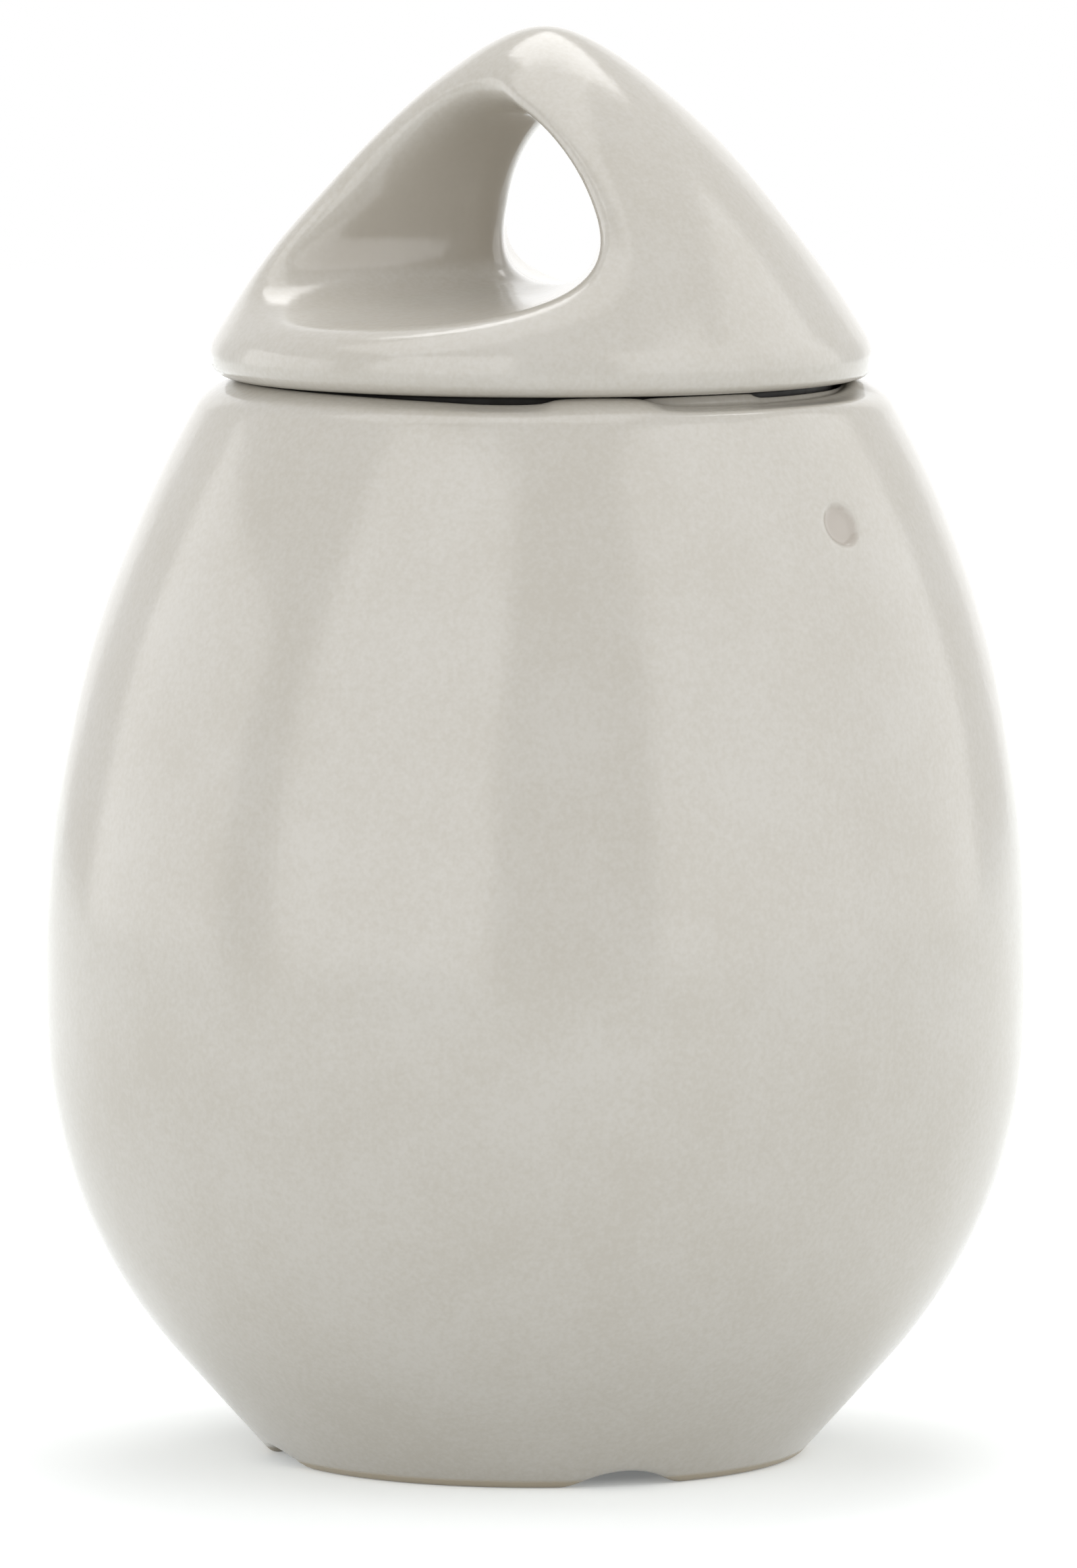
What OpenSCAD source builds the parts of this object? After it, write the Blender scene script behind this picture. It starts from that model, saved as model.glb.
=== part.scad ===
// Porcelain egg coddler: a belly-shaped cup, a flat sealing ring and a lid cast with its handle.
// The lid drops in with its two lugs in the cup's two slots, and a turn clockwise locks it.
// Frame: +Z up, origin in the middle of the face that the foot rests on. The two posts of the
// handle stand on the X axis, and its finger hole runs through along Y.

/* [Cup] */
// Height of the seat that the sealing ring lies on
seat_z = 82; // [74:0.5:99]
// Radius where the foot's flank would meet the table
foot_r = 20.5; // [18:0.1:23.6]
// Angle of the foot's flank below the horizontal of its outward normal
foot_slope = 42; // [40:1:50]
// Widest radius of the belly
belly_r = 37.95; // [34:0.05:46]
// Height at which the belly's lower curve reaches the widest radius
belly_low_z = 35.3; // [29:0.1:43]
// Height of the straight band between the belly's two curves
belly_band = 2.8; // [0.5:0.1:6]
// Thickness of the side wall
wall = 4; // [3:0.1:5]
// Thickness of the bottom in the middle
bottom_t = 4; // [3:0.1:6]

/* [Foot] */
// Inner radius of the foot ring
recess_r = 15.8; // [12:0.1:16.5]
// Depth of the recess inside the foot ring
recess_h = 2.5; // [1.5:0.1:4]
// Rounding of the foot ring's edges
foot_round = 1.2; // [0.5:0.1:1.4]
// Number of drain notches across the foot ring
notch_n = 4; // [2:1:6]
// Direction of the first drain notch, counted from +X
notch_a = 62; // [0:1:90]
// Width of a drain notch at the table
notch_w = 8.3; // [6:0.1:10]
// Height of a drain notch in the middle
notch_h = 1.3; // [0.8:0.1:1.8]

/* [Mouth] */
// Radius of the mouth that the lid's spigot drops into
mouth_r = 17.8; // [15:0.1:21.4]
// Thickness of the collar round the mouth
collar_t = 4.5; // [3.5:0.1:6]
// Distance from the mouth to the crest of the rim
rim_land = 7.1; // [6.5:0.1:9]
// Height of the rim's crest above the seat
crest_h = 0.5; // [0.2:0.05:0.7]
// Rounding of the rim's outer edge
rim_round = 1.8; // [1.2:0.1:2.4]
// Angle that a slot for a lug takes up
slot_a = 40; // [38:1:44]
// Depth of a slot beyond the mouth
slot_d = 2.9; // [2.8:0.1:3.2]
// Diameter of the round mark under the handle
mark_d = 3.7; // [3:0.1:5]
// Depth of the round mark
mark_h = 0.8; // [0.4:0.1:1.2]
// Distance of the round mark below the seat
mark_drop = 8.7; // [7:0.1:12]

/* [Sealing ring] */
// Thickness of the sealing ring
ring_t = 1; // [0.8:0.1:1.4]
// Gap between the sealing ring and the foot of the rim's crest
ring_margin = 0.3; // [0.1:0.1:1.2]

/* [Lid] */
// Height of the lid's tip above its underside
lid_h = 27; // [24:0.5:33]
// Distance from the rim's crest out to the lid's widest line
lid_over = 0.55; // [0.4:0.01:1.2]
// Rounding of the lid's tip
tip_round = 8; // [6.5:0.1:10]
// Radius of the bulging flank between the tip and the edge
flank_r = 68; // [60:0.1:120]
// Rounding of the lid's edge above the widest line
edge_round = 2.7; // [2:0.1:3.2]
// Height of the widest line above the underside
edge_h = 1.8; // [1.2:0.1:2.4]
// Gap between the lid's spigot and the mouth
spigot_gap = 0.6; // [0.4:0.05:1]
// Thickness of the spigot's wall
spigot_t = 3; // [2.5:0.1:3.5]
// Gap between the sealing ring and the neck that it turns on
neck_gap = 0.1; // [0.05:0.01:0.1]
// Depth of the step that keeps the ring on the neck
neck_step = 0.3; // [0.2:0.05:0.5]
// Rise of the hollow under the lid in the middle
hollow_rise = 3.2; // [2:0.1:4]
// Thickness between the hollow and the finger hole
hole_floor_t = 4; // [3:0.1:6]

/* [Lugs] */
// Angle that a lug takes up
lug_a = 34; // [28:1:36]
// Height of a lug
lug_t = 3.2; // [2.5:0.1:4]
// Gap above a lug under the collar
lug_gap = 0.3; // [0.2:0.05:0.5]
// Gap between a lug and the outer wall of its slot
slot_gap = 0.5; // [0.3:0.05:0.8]
// Turn that locks the lid
lock_a = 60; // [50:1:70]
// Angle that a stop takes up
stop_a = 5; // [3:1:8]

/* [Handle] */
// Thickness of the handle's bar above the finger hole
bar_t = 7.4; // [5:0.1:9]
// Half of the finger hole's width at mid height
hole_half = 5.3; // [4.5:0.1:6.5]
// Distance of the finger hole from the middle, towards +X
hole_off = 0.9; // [-1:0.1:1]
// Narrowing of the finger hole towards its top, as a share of its width
hole_taper = 0.39; // [0.2:0.01:0.5]
// How full the finger hole's corners are, where 2 is an oval
hole_full = 2.2; // [2:0.1:3]
// Distance over which the two scoops blend into each other in the middle
waist = 1.3; // [0.8:0.1:3]
// How fast the scoops widen
flare = 1.2; // [0.9:0.05:1.4]
// How far out the widening slows down
flare_reach = 30; // [20:1:60]
// How fast the floor of the scoops sinks
sink = 0.24; // [0.1:0.01:0.3]
// How fast the roof of the scoops climbs
climb = 0.4; // [0.2:0.05:0.6]

/* [Hidden] */
$fn = 96;

// Colours of the glazed porcelain and of the ring's rubber
glaze = "#cac6be";
rubber = "#1f1b17";

// Cup, from the table up
floor_z = recess_h + bottom_t;
belly_high_z = belly_low_z + belly_band;
crest_r = mouth_r + rim_land;
collar_z = seat_z - collar_t;
rim_c = [crest_r, seat_z + crest_h - rim_round];
// The lower curve is tangent to the foot's flank and to the vertical at the belly
low_r = (belly_low_z * sin(foot_slope) - (belly_r - foot_r) * cos(foot_slope)) / (1 - cos(foot_slope));
low_c = [belly_r - low_r, belly_low_z];
// The upper curve is tangent to the vertical at the belly and to the rim's rounding
high_r = (pow(rim_c[0] - belly_r, 2) + pow(rim_c[1] - belly_high_z, 2) - pow(rim_round, 2))
    / (2 * (belly_r - rim_c[0] - rim_round));
high_c = [belly_r - high_r, belly_high_z];
rim_a = direction(high_c, rim_c);
// Fillets inside the cup, under the collar and round the bottom
collar_fillet = 3;
bottom_fillet = 6;
collar_fillet_c = [inner_r(high_c, high_r - wall - collar_fillet, collar_z - collar_fillet),
    collar_z - collar_fillet];
// The fillet round the bottom touches the straight flank's inner side or, past that, the lower curve's
bottom_fillet_z = floor_z + bottom_fillet;
on_flank = bottom_fillet_z < belly_low_z - (low_r - wall - bottom_fillet) * sin(foot_slope);
bottom_fillet_c = [
    on_flank ? foot_r + (bottom_fillet_z * sin(foot_slope) - wall - bottom_fillet) / cos(foot_slope)
        : inner_r(low_c, low_r - wall - bottom_fillet, bottom_fillet_z),
    bottom_fillet_z];
bottom_a = on_flank ? -foot_slope : direction(low_c, bottom_fillet_c);
// Small edges of the mouth and the spigot
edge = 0.4;
slot_r = mouth_r + slot_d;
// The seat ends where the crest's inner slope begins
crest_slope = 2.4;
seat_r = crest_r - crest_slope;

// Sealing ring
neck_r = mouth_r - spigot_gap - neck_step;
ring_r = neck_r + neck_gap;
ring_w = seat_r - ring_margin - ring_r;

// Lid
lid_z = seat_z + ring_t;
tip_z = lid_z + lid_h;
lid_r = crest_r + lid_over;
tip_c = [0, tip_z - tip_round];
edge_c = [lid_r - edge_round, lid_z + edge_h];
flank_c = tangent_centre(tip_c, flank_r - tip_round, edge_c, flank_r - edge_round);
spigot_r = mouth_r - spigot_gap;
spigot_in_r = spigot_r - spigot_t;
lug_top_z = collar_z - lug_gap;
spigot_z = lug_top_z - lug_t;
lug_r = slot_r - slot_gap;
hollow_z = lid_z + hollow_rise;
hollow_side_z = lid_z + 1;
hollow_r = (pow(spigot_in_r, 2) + pow(hollow_z - hollow_side_z, 2)) / (2 * (hollow_z - hollow_side_z));

// Finger hole
hole_low_z = hollow_z + hole_floor_t;
hole_high_z = tip_z - bar_t;
sink_reach = 30;
hole_rings = 24;
hole_sides = 40;
hole_end = lid_r + 2;

function direction(from, to) = atan2(to[1] - from[1], to[0] - from[0]);

// Radius at height z of a circle of radius r about c
function inner_r(c, r, z) = c[0] + sqrt(r * r - pow(z - c[1], 2));

// The point at distance ra from a and rb from b that lies nearer the axis
function tangent_centre(a, ra, b, rb) =
    let (d = norm(b - a), u = (b - a) / d, x = (ra * ra - rb * rb + d * d) / (2 * d))
    a + u * x + [-u[1], u[0]] * -sqrt(ra * ra - x * x);

// Points along an arc of radius r about c, from angle a0 to a1
function arc(c, r, a0, a1, steps = 5) =
    [for (i = [0:steps]) let (a = a0 + (a1 - a0) * i / steps) c + r * [cos(a), sin(a)]];

// Outline of the cup's half section, from the underside round the outside to the inside
function cup_outline() = concat(
    [[0, recess_h]],
    arc([recess_r - foot_round, recess_h - foot_round], foot_round, 90, 0),
    arc([recess_r + foot_round, foot_round], foot_round, 180, 270),
    arc([foot_r - foot_round * (1 - sin(foot_slope)) / cos(foot_slope), foot_round],
        foot_round, -90, -foot_slope),
    arc(low_c, low_r, -foot_slope, 0, 12),
    arc(high_c, high_r, 0, rim_a, 12),
    arc(rim_c, rim_round, rim_a, 95),
    [[seat_r, seat_z]],
    arc([mouth_r + edge, seat_z - edge], edge, 90, 180, 3),
    arc([mouth_r + edge, collar_z + edge], edge, 180, 270, 3),
    arc(collar_fillet_c, collar_fillet, 90, direction(high_c, collar_fillet_c)),
    arc(high_c, high_r - wall, direction(high_c, collar_fillet_c), 0, 12),
    arc(low_c, low_r - wall, 0, bottom_a, 12),
    arc(bottom_fillet_c, bottom_fillet, bottom_a, -90),
    [[0, floor_z]]
);

// Outline of the lid's half section, from the tip down the outside and up the hollow
function lid_outline() = concat(
    arc(tip_c, tip_round, 90, direction(flank_c, tip_c), 10),
    arc(flank_c, flank_r, direction(flank_c, tip_c), direction(flank_c, edge_c), 14),
    arc(edge_c, edge_round, direction(flank_c, edge_c), 0),
    arc([lid_r - edge_h, lid_z + edge_h], edge_h, 0, -90),
    [[neck_r, lid_z], [neck_r, seat_z - neck_gap], [spigot_r, seat_z - neck_gap]],
    arc([spigot_r - edge, spigot_z + edge], edge, 0, -90, 3),
    arc([spigot_in_r + edge, spigot_z + edge], edge, -90, -180, 3),
    arc([0, hollow_z - hollow_r], hollow_r, acos(spigot_in_r / hollow_r), 90, 6)
);

// A block of ring shape that takes up the angle a, centred on the direction at
module sector(at, a, r0, r1, z0, z1)
    rotate([0, 0, at - a / 2])
        rotate_extrude(angle = a)
            translate([r0, z0])
                square([r1 - r0, z1 - z0]);

// Both sides of the mouth have the same slot, lug and stops
module on_both_sides()
    for (side = [0, 180])
        rotate([0, 0, side])
            children();

// A drain notch is a flat arch, cut across the foot ring
module drain_notch() {
    arch_r = (notch_w * notch_w / 4 + notch_h * notch_h) / (2 * notch_h);
    translate([recess_r / 2, 0, notch_h - arch_r])
        rotate([0, 90, 0])
            cylinder(r = arch_r, h = foot_r);
}

// The round mark is a shallow bowl in the wall, square to the surface
module mark() {
    mark_z = seat_z - mark_drop;
    slope = asin((mark_z - high_c[1]) / high_r);
    bowl_r = (mark_d * mark_d / 4 + mark_h * mark_h) / (2 * mark_h);
    reach = high_r + bowl_r - mark_h;
    translate([high_c[0] + reach * cos(slope), 0, high_c[1] + reach * sin(slope)])
        sphere(r = bowl_r);
}

// The stops hang under the collar: one ends the turn, the other bars the wrong way round
module turn_stops() {
    stop_play = 1;
    locked_a = -lock_a - lug_a / 2 - stop_play - stop_a / 2;
    wrong_a = slot_a / 2 + stop_play + stop_a / 2;
    for (at = [locked_a, wrong_a])
        sector(at, stop_a, mouth_r + 2 * edge, lug_r, spigot_z + edge, collar_z + edge);
}

// How much a size has grown at the distance u from the middle: the growth slows past reach
function grow(u, rate, reach) = rate * u / (1 + u / reach);

function signed_pow(v, p) = sign(v) * pow(abs(v), p);

// One ring of the cutter for the finger hole and its two scoops, at the place y along it
function scoop_ring(y) =
    let (u = sqrt(y * y + waist * waist) - waist,
        half = hole_half + grow(u, flare, flare_reach),
        low = hole_low_z - grow(u, sink, sink_reach),
        high = hole_high_z + climb * u)
    [for (i = [0:hole_sides - 1])
        let (a = 360 * i / hole_sides, t = signed_pow(sin(a), 2 / hole_full),
            s = signed_pow(cos(a), 2 / hole_full))
        [hole_off + half * s * (1 - hole_taper * t), y, (low + high) / 2 + t * (high - low) / 2]];

// The rings lie closer together near the middle, where the scoops turn
function ring_place(j) =
    let (s = 2 * j / hole_rings - 1)
    hole_end * signed_pow(s, 1.4);

module scoops() {
    points = [for (j = [0:hole_rings]) each scoop_ring(ring_place(j))];
    sides = [for (j = [0:hole_rings - 1], i = [0:hole_sides - 1])
        let (a = j * hole_sides + i, b = j * hole_sides + (i + 1) % hole_sides)
        each [[a, b, b + hole_sides], [a, b + hole_sides, a + hole_sides]]];
    first = [for (i = [hole_sides - 1:-1:0]) i];
    last = [for (i = [0:hole_sides - 1]) hole_rings * hole_sides + i];
    polyhedron(points, concat(sides, [first, last]), convexity = 4);
}

module cup()
    color(glaze)
        difference() {
            union() {
                rotate_extrude() polygon(cup_outline());
                on_both_sides() turn_stops();
            }
            on_both_sides()
                sector(0, slot_a, mouth_r - 1, slot_r, collar_z - 1, seat_z + 1);
            for (i = [0:notch_n - 1])
                rotate([0, 0, notch_a + i * 360 / notch_n])
                    drain_notch();
            mark();
        }

module lid()
    color(glaze)
        difference() {
            union() {
                rotate_extrude() polygon(lid_outline());
                on_both_sides()
                    sector(0, lug_a, spigot_r - edge, lug_r, spigot_z, lug_top_z);
            }
            scoops();
        }

module sealing_ring()
    color(rubber)
        rotate_extrude()
            translate([ring_r, seat_z])
                square([ring_w, ring_t]);

cup();
lid();
sealing_ring();
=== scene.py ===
"""Looks of a porcelain egg coddler: an egg-shaped cup, a lid with its handle and a sealing ring.

The frame is in metres, +Z up, with its origin in the middle of the face that the foot rests on.
The handle's posts stand on X and its finger hole runs along Y.
"""

from functools import partial
from math import acos, asin, atan2, ceil, cos, hypot, pi, radians, sin, sqrt, tan, tau
from types import SimpleNamespace

import bpy
from bpy.props import FloatProperty, FloatVectorProperty, IntProperty, PointerProperty
from bpy.types import Operator, Panel, PropertyGroup
from mathutils import Euler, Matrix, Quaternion, Vector


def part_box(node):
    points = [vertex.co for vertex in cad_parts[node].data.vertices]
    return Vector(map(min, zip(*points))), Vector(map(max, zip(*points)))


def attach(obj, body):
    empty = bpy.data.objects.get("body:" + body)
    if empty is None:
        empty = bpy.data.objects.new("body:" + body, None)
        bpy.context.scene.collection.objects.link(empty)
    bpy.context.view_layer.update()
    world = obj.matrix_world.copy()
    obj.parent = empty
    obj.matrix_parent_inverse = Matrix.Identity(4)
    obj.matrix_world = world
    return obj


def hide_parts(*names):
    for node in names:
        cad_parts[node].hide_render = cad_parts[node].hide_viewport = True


bl_info = {
    "name": "Egg Coddler",
    "version": (1, 0, 0),
    "blender": (4, 5, 0),
    "location": "View3D > Sidebar > Coddler",
    "description": "Builds a glazed porcelain egg coddler around its CAD frame",
    "category": "Object",
}

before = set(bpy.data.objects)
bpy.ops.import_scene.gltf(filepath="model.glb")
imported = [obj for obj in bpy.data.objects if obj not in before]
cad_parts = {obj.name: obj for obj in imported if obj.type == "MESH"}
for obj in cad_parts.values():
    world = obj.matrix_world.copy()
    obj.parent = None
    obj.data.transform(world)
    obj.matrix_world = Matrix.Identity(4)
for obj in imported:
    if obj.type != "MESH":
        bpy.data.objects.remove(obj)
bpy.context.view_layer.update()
CUP_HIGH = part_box("cup")[1]
LID_LOW, LID_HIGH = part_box("lid")
RING_LOW, RING_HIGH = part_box("sealing_ring")

MM = 0.001
CLOSE = 0.001 * MM  # points this close are merged
HAIR = 0.05 * MM  # play when heights are compared
OUTLINE = {"Outline": "Geometry", "Turns": "Int", "Crowding": "Float"}  # a turned piece's inputs
VECTOR, RANGE, PARTS = "ShaderNodeVectorMath", "ShaderNodeMapRange", "ShaderNodeSeparateXYZ"


def share(default, name, description, **unit):
    """A number that a user may change."""
    return FloatProperty(name=name, description=description, default=default, **unit)


def size(millimetres, name, description):
    """A length that a user may change, given in millimetres and kept in metres."""
    return share(millimetres * MM, name, description, unit="LENGTH", precision=5)


def turn(degrees, name, description):
    """An angle that a user may change."""
    return share(radians(degrees), name, description, subtype="ANGLE")


def tint(hexa, name, description):
    """A colour that a user may change, kept as linear values."""
    return FloatVectorProperty(
        name=name, description=description, default=linear(hexa), subtype="COLOR", min=0.0, max=1.0
    )


def linear(hexa):
    """Turns an sRGB hex colour into linear red, green and blue."""
    values = [int(hexa[i : i + 2], 16) / 255 for i in (1, 3, 5)]
    return tuple(v / 12.92 if v <= 0.04045 else ((v + 0.055) / 1.055) ** 2.4 for v in values)


class CoddlerCup(PropertyGroup):
    """Sizes of the cup."""

    belly: size(CUP_HIGH.x / MM, "Belly", "Widest radius of the belly")
    seat: size(RING_LOW.z / MM, "Seat", "Height of the seat under the sealing ring")
    foot: size(20.5, "Foot", "Radius where the foot's flank would meet the table")
    foot_slope: turn(42, "Foot slope", "Angle of the flank's outward normal below the horizontal")
    belly_low: size(35.3, "Lower belly", "Height where the lower curve reaches the widest radius")
    belly_high: size(38.1, "Upper belly", "Height where the upper curve leaves the widest radius")
    wall: size(4, "Wall", "Thickness of the side wall")
    floor: size(6.5, "Floor", "Height of the cavity's floor")
    recess: size(15.8, "Recess", "Inner radius of the foot ring")
    recess_depth: size(2.5, "Recess depth", "Depth inside the foot ring")
    foot_round: size(1.2, "Foot rounding", "Rounding of the foot ring's edges")
    mouth: size(17.8, "Mouth", "Radius of the mouth")
    collar: size(4.5, "Collar", "Thickness of the collar round the mouth")
    crest: size(23.6, "Crest", "Radius of the rim's soft crest")
    crest_round: size(1.0, "Crest rounding", "Rounding of the crest")
    crest_slope: size(1.1, "Crest slope", "Width of the crest's inner slope")
    shoulder: size(24.7, "Shoulder", "Radius of the middle of the shoulder's rounding")
    shoulder_high: size(0.27, "Shoulder height", "Reach of the shoulder's rounding above the seat")
    shoulder_slope: turn(17, "Shoulder slope", "Slope from the crest down to the shoulder")
    rim_round: size(2.4, "Shoulder rounding", "Rounding of the rim's outer edge")
    slot_depth: size(2.9, "Slot depth", "Depth of a lug's slot beyond the mouth")
    slot_angle: turn(40, "Slot angle", "Angle that a lug's slot takes up")
    notch_turn: turn(62, "Notch direction", "Direction of the first drain notch")
    notch_width: size(8.3, "Notch width", "Width of a drain notch at the table")
    notch_height: size(1.3, "Notch height", "Height of a drain notch")
    mark_width: size(3.7, "Mark", "Diameter of the round mark under the handle")
    mark_depth: size(0.4, "Mark depth", "Depth of the round mark")
    mark_drop: size(8.7, "Mark drop", "Distance of the mark below the seat")
    lean: size(0.65, "Lean", "How far the hand-made belly leans off its axis")
    turns: IntProperty(name="Turns", description="Faces round the cup", default=280, min=32)
    crowding: share(0.55, "Crowding", "How far the faces crowd together towards the round mark")


class CoddlerLid(PropertyGroup):
    """Sizes of the lid."""

    flank: size(79.7, "Flank", "Radius of the bulging flank")
    tip_soft: size(4.2, "Tip softness", "How far the tip is drawn round")
    brow_blend: size(0.71, "Brow blend", "Reach of the blend from the flank to the widest line")
    edge_blend: size(2.9, "Edge blend", "Reach of the blend from the widest line to the underside")
    edge_spare: size(0.48, "Edge spare", "How far the unblended flank passes the widest line")
    edge_height: size(1.8, "Edge height", "Height of the widest line above the underside")
    spigot: size(17.2, "Spigot", "Outer radius of the spigot")
    spigot_wall: size(3, "Spigot wall", "Thickness of the spigot")
    lug: size(20.2, "Lug", "Outer radius of the lugs")
    lug_height: size(3.2, "Lug height", "Height of a lug")
    lug_angle: turn(34, "Lug angle", "Angle that a lug takes up")
    hollow: size(3.2, "Hollow", "Rise of the hollow under the lid")
    hollow_round: size(46.9, "Hollow radius", "Radius of the hollow's vault")
    hole_low: size(90.2, "Hole floor", "Height of the finger hole's floor")
    hole_high: size(103.1, "Hole roof", "Height of the finger hole's roof")
    hole_half: size(5.45, "Hole half width", "Half of the finger hole's width at mid height")
    hole_off: size(0.9, "Hole offset", "Distance of the finger hole from the middle")
    hole_taper: share(0.39, "Hole taper", "Narrowing of the hole's right half towards its top")
    hole_taper_left: share(0.2, "Hole taper left", "Narrowing of the left half towards the top")
    hole_full: share(2.2, "Hole fullness", "How full the hole's corners are")
    hole_full_low: share(3.1, "Low left fullness", "How full the hole's low left corner is")
    waist: size(2.0, "Waist", "Distance over which the two scoops blend")
    flare: share(1.17, "Flare", "How fast the scoops widen")
    flare_less: share(0.7, "Lesser flare", "How fast the scoops widen on their other side")
    flare_reach: size(36, "Flare reach", "How far out the widening slows down")
    sink: share(0.18, "Sink", "How fast the scoops' floor sinks")
    climb: share(0.28, "Climb", "How fast the scoops' roof climbs")
    lip: size(2.8, "Lip", "Reach of the rolled lip below the scoops")
    lip_high: size(6.0, "Soft lip", "Reach of the soft lip on the front scoop's left")
    lean: size(0.27, "Lean", "How far the lid's hand-made base leans off its axis")
    grain: size(0.36, "Grain", "Side of the cells that the shape is sampled in")


class CoddlerRing(PropertyGroup):
    """Sizes of the sealing ring."""

    neck: size(17.0, "Neck", "Inner radius, around the lid's neck")
    turns: IntProperty(name="Turns", description="Faces round the ring", default=160, min=32)


class CoddlerFinish(PropertyGroup):
    """Colours and surface of the glaze, the bare foot and the ring."""

    glaze: tint("#c7c3bb", "Glaze", "Body colour seen through the glaze")
    glaze_shade: tint("#c0bbb1", "Glaze shade", "Where the glaze lies thicker")
    # Painted shade: the walls deep in the lid's scoops take this darker, warmer tint where shade
    # falls
    pool: tint("#b3aca0", "Glaze pool", "Where the glaze gathers on the scoops' walls")
    mark: tint("#b4aca2", "Mark", "Thin glaze in the round mark")
    clay: tint("#b5aa96", "Bare clay", "Unglazed edge of the foot")
    # The ring is a real part; its near-black colour is painted shade that darkens the seam like a
    # shadowed gap
    silicone: tint("#1f1b17", "Silicone", "Sealing ring")
    satin: share(0.16, "Satin", "Roughness of the glaze")
    dimple: size(1.2, "Dimple", "Spacing of the glaze's orange peel")
    dimple_depth: size(0.018, "Dimple depth", "Depth of the glaze's orange peel")


class CoddlerStage(PropertyGroup):
    """The camera and the studio."""

    azimuth: turn(43, "Azimuth", "Where the camera stands, turned from -Y towards +X")
    distance: size(969.3, "Distance", "Distance of the camera from the axis")
    height: size(146.7, "Height", "Height of the camera above the table")
    tilt: turn(5.6005, "Tilt", "How far the camera looks down")
    side: size(0.466, "Side step", "Distance of the axis to the right of the camera's aim")
    lens: share(290.4, "Lens", "Focal length in millimetres on a 36 mm sensor")
    glow: share(1.5, "Glow", "Brightness of the two upright lights in front")
    left_glow: share(1.2, "Left glow", "Brightness of the upright light on the left")
    right_glow: share(1.1, "Right glow", "Brightness of the upright light on the right")
    back_glow: share(0.4, "Back glow", "Brightness of the upright light behind")
    top_glow: share(1.2, "Top glow", "Brightness of the overhead light")
    crown_glow: share(3.3, "Crown glow", "Brightness of the light above and behind")
    fill: share(0.22, "Fill", "Brightness of the light from all round")
    # Painted light: the paper's glow is weaker beside the foot, which keeps its shadow dark, and
    # still lights the recess under the foot
    lift: share(0.28, "Lift", "The paper's own brightness beside the foot")
    far_lift: share(0.65, "Far lift", "The paper's own brightness further out")
    footprint: size(20.5, "Footprint", "Radius within which the paper's own brightness is less")
    paper: tint("#f3f5f5", "Paper", "Colour of the floor's paper")
    paper_glow: tint("#fcffff", "Paper glow", "Colour of the paper's own brightness")
    light_distance: size(900, "Light distance", "Distance of the upright lights from the axis")
    light_height: size(1100, "Light height", "Height of the lights above")


def add(tree, kind, inputs=(), **settings):
    """Adds a node. A kind in capitals is an operation of a Math node.

    An input is a value, a socket, or a node whose first live output is meant.
    """
    if kind.isupper():
        kind, settings = "ShaderNodeMath", {"operation": kind}
    node = tree.nodes.new(kind)
    for name, value in settings.items():
        setattr(node, name, value)
    pairs = inputs.items() if isinstance(inputs, dict) else enumerate(inputs)
    for key, value in pairs:
        if isinstance(value, bpy.types.Node):
            value = next(s for s in value.outputs if s.enabled)
        if isinstance(value, bpy.types.NodeSocket):
            tree.links.new(value, node.inputs[key])
        else:
            node.inputs[key].default_value = value
    return node


def new_tree(name, inputs, outputs):
    """A Geometry Nodes tree with named inputs and outputs of the given kinds, and their sockets."""
    tree = bpy.data.node_groups.new(name, "GeometryNodeTree")
    for side, sockets in (("INPUT", inputs), ("OUTPUT", outputs)):
        for label, kind in sockets.items():
            tree.interface.new_socket(label, in_out=side, socket_type=f"NodeSocket{kind}")
    return tree, tree.nodes.new("NodeGroupInput").outputs, tree.nodes.new("NodeGroupOutput").inputs


def new_material(name):
    """A material with an empty node tree, and that tree."""
    material = bpy.data.materials.new(name)
    material.use_nodes = True
    material.node_tree.nodes.clear()
    return material, material.node_tree


def put(name, data):
    """An object at the origin that shows a mesh, a light or a camera."""
    shape = bpy.data.objects.new(name, data)
    bpy.context.scene.collection.objects.link(shape)
    return shape


def spoke(angle):
    """Unit vector at an angle, in the half section or in the plan."""
    return Vector((cos(angle), sin(angle)))


def arc(centre, radius, start, end, step):
    """Points along an arc in the half section, about step millimetres apart, angles in radians."""
    count = max(3, ceil(abs(end - start) * radius / (step * MM)))
    angles = (start + (end - start) * i / count for i in range(count + 1))
    return [Vector(centre) + radius * spoke(a) for a in angles]


def line(start, end, step):
    """Points on a straight stretch, about step millimetres apart, without its ends."""
    start, end = Vector(start), Vector(end)
    count = max(1, ceil((end - start).length / (step * MM)))
    return [start.lerp(end, i / count) for i in range(1, count)]


def direction(centre, point):
    """Angle at which a point lies from a centre."""
    return atan2(point.y - centre.y, point.x - centre.x)


def upper_curve(cup):
    """Centre and radius of the wall's upper curve, and the centre of the shoulder's rounding."""
    rim = Vector((cup.shoulder, cup.seat + cup.shoulder_high - cup.rim_round))
    run, rise = cup.belly - rim.x, rim.y - cup.belly_high
    radius = (run**2 + rise**2 - cup.rim_round**2) / (2 * (run - cup.rim_round))
    return Vector((cup.belly - radius, cup.belly_high)), radius, rim


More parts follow.
